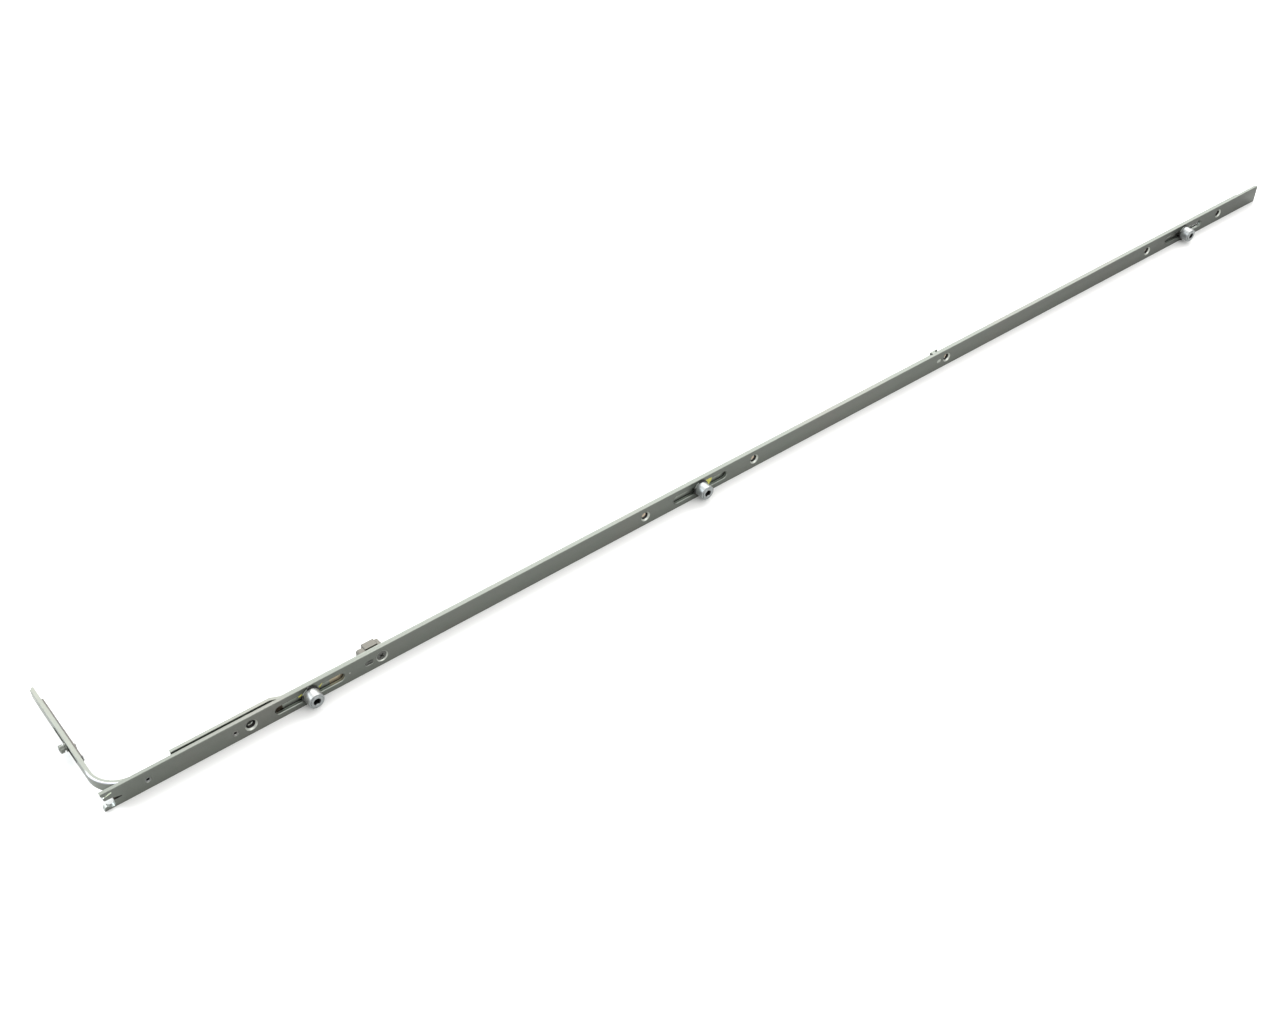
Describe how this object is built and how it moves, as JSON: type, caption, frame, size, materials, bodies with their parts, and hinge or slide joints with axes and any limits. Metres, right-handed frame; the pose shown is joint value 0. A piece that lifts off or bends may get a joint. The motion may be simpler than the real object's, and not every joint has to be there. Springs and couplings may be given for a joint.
{
  "type": "flush bolt",
  "caption": "Flush bolt: long faceplate with a sliding drive rod behind it, eccentric roller cams in slots, and a corner guide whose spring band moves a short rod round the bend",
  "frame": {"origin": "front lower corner of the forked end of the long faceplate, on its front face and its lower long edge", "axes": "+X along the long faceplate from its forked end; +Y from the front face into the sash, along the short leg; +Z across the faceplate's width"},
  "size_m": [1.1745, 0.1254, 0.016],
  "materials": {
    "plate_zinc": "zinc-plated steel, satin, faintly drawn along its length",
    "strip_zinc": "zinc-plated bent strip, satin",
    "rod_zinc": "zinc-plated sliding rod, satin",
    "cam_zinc": "zinc-plated turned steel, faint blue and violet tint, traces of yellow grease",
    "diecast_nickel": "die-cast zinc with a warm nickel tone, softly bead-blasted",
    "spring_steel": "dark spring steel, smooth",
    "rivet_zinc": "zinc-plated rivet, faint blue tint"
  },
  "bodies": {
    "frame": {"faceplate_fork": "plate_zinc", "long_faceplate": "plate_zinc", "corner_strip": "strip_zinc", "corner_channel": "strip_zinc", "guide_rivets": "rivet_zinc", "guide_block": "diecast_nickel", "block_screw": "rivet_zinc", "rod_clip": "rod_zinc", "spring_band_bend": "spring_steel"},
    "drive_rod": {"drive_rod": "rod_zinc", "rod_strap": "rod_zinc", "band_rivets_long": "rivet_zinc", "spring_band_long": "spring_steel", "cam_1_washer": "rivet_zinc", "cam_2_washer": "rivet_zinc", "cam_3_washer": "rivet_zinc"},
    "short_rod": {"short_rod": "spring_steel", "stud_plate": "rod_zinc", "coupling_stud": "cam_zinc", "band_rivet_short": "rivet_zinc", "spring_band_short": "spring_steel"},
    "cam_1": {"cam_1_pin": "cam_zinc", "cam_1_retainer": "rivet_zinc"},
    "roller_1": {"cam_1_roller": "cam_zinc"},
    "cam_2": {"cam_2_pin": "cam_zinc", "cam_2_retainer": "rivet_zinc"},
    "roller_2": {"cam_2_roller": "cam_zinc"},
    "cam_3": {"cam_3_pin": "cam_zinc", "cam_3_retainer": "rivet_zinc"},
    "roller_3": {"cam_3_roller": "cam_zinc"}
  },
  "joints": [
    {"name": "rod_slide", "type": "slide", "parent": "frame", "child": "drive_rod", "axis": [1, 0, 0], "range_m": [-0.018, 0.014], "deforming": ["spring_band_bend"]},
    {"name": "short_rod_slide", "type": "slide", "parent": "frame", "child": "short_rod", "axis": [0, 1, 0], "range_m": [-0.014, 0.018]},
    {"name": "cam_1_adjust", "type": "hinge", "parent": "drive_rod", "child": "cam_1", "pos_m": [0.1452, 0, 0.008], "axis": [0, -1, 0], "range_deg": [-90, 90]},
    {"name": "roller_1_spin", "type": "hinge", "parent": "cam_1", "child": "roller_1", "pos_m": [0.146, 0, 0.008], "axis": [0, -1, 0], "continuous": true},
    {"name": "cam_2_adjust", "type": "hinge", "parent": "drive_rod", "child": "cam_2", "pos_m": [0.4802, 0, 0.008], "axis": [0, -1, 0], "range_deg": [-90, 90]},
    {"name": "roller_2_spin", "type": "hinge", "parent": "cam_2", "child": "roller_2", "pos_m": [0.481, 0, 0.008], "axis": [0, -1, 0], "continuous": true},
    {"name": "cam_3_adjust", "type": "hinge", "parent": "drive_rod", "child": "cam_3", "pos_m": [1.0602, 0, 0.008], "axis": [0, -1, 0], "range_deg": [-90, 90]},
    {"name": "roller_3_spin", "type": "hinge", "parent": "cam_3", "child": "roller_3", "pos_m": [1.061, 0, 0.008], "axis": [0, -1, 0], "continuous": true}
  ],
  "couplings": [
    {"joint": "short_rod_slide", "follows": "rod_slide", "ratio": -1}
  ]
}
